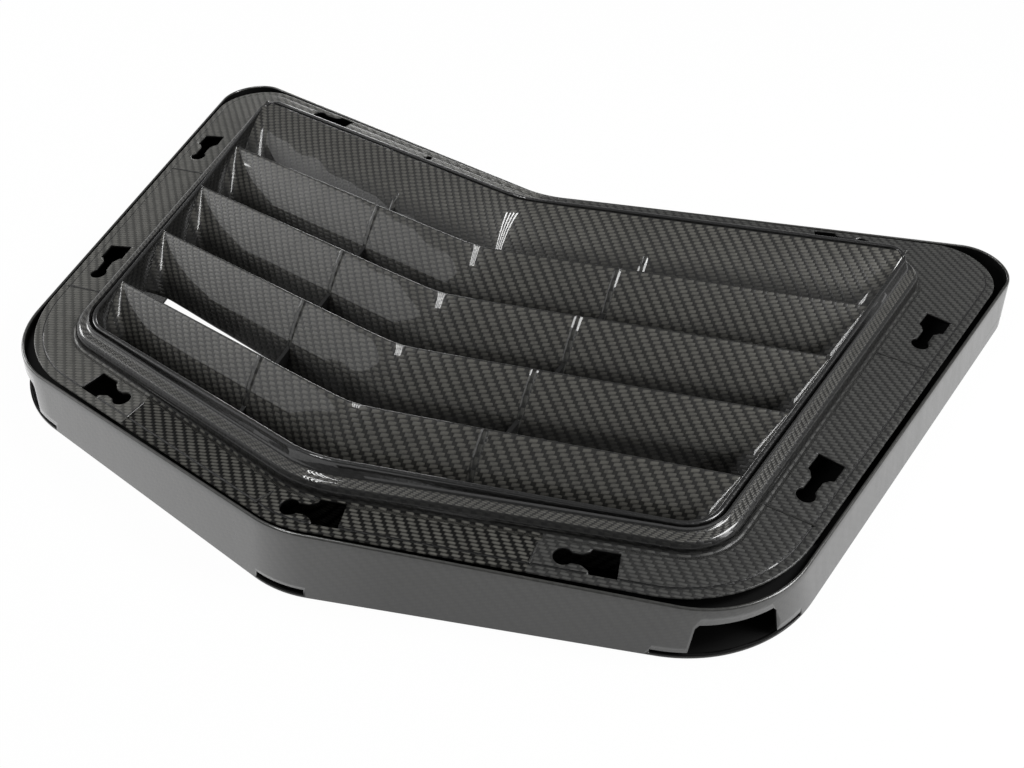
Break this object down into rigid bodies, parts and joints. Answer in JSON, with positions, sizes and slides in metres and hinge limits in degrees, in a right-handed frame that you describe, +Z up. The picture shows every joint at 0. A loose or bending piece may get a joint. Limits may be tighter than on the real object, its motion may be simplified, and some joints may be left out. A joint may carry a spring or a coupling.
{
  "type": "hood vent",
  "caption": "Chevron hood vent of carbon-fibre laminate: overlapping louvre blades in a stepped rim, a keyholed flange and a skirted drain tray below.",
  "frame": {"origin": "floor plane below the middle of the part", "axes": "+X to the car's right, +Y to the rear, +Z up; the chevron points to -Y"},
  "size_m": [0.6586, 0.4432, 0.0672],
  "materials": {
    "frame_laminate": "satin clear-coated twill laminate",
    "blade_laminate": "gloss clear-coated twill laminate",
    "rib_laminate": "satin laminate",
    "tray_laminate": "smooth semi-gloss laminate"
  },
  "bodies": {
    "root": {"louver_frame": "frame_laminate", "louver_blade_1": "blade_laminate", "louver_blade_2": "blade_laminate", "louver_blade_3": "blade_laminate", "louver_blade_4": "blade_laminate", "louver_blade_5": "blade_laminate", "support_rib_left": "rib_laminate", "support_rib_right": "rib_laminate", "drain_tray": "tray_laminate"}
  },
  "joints": []
}
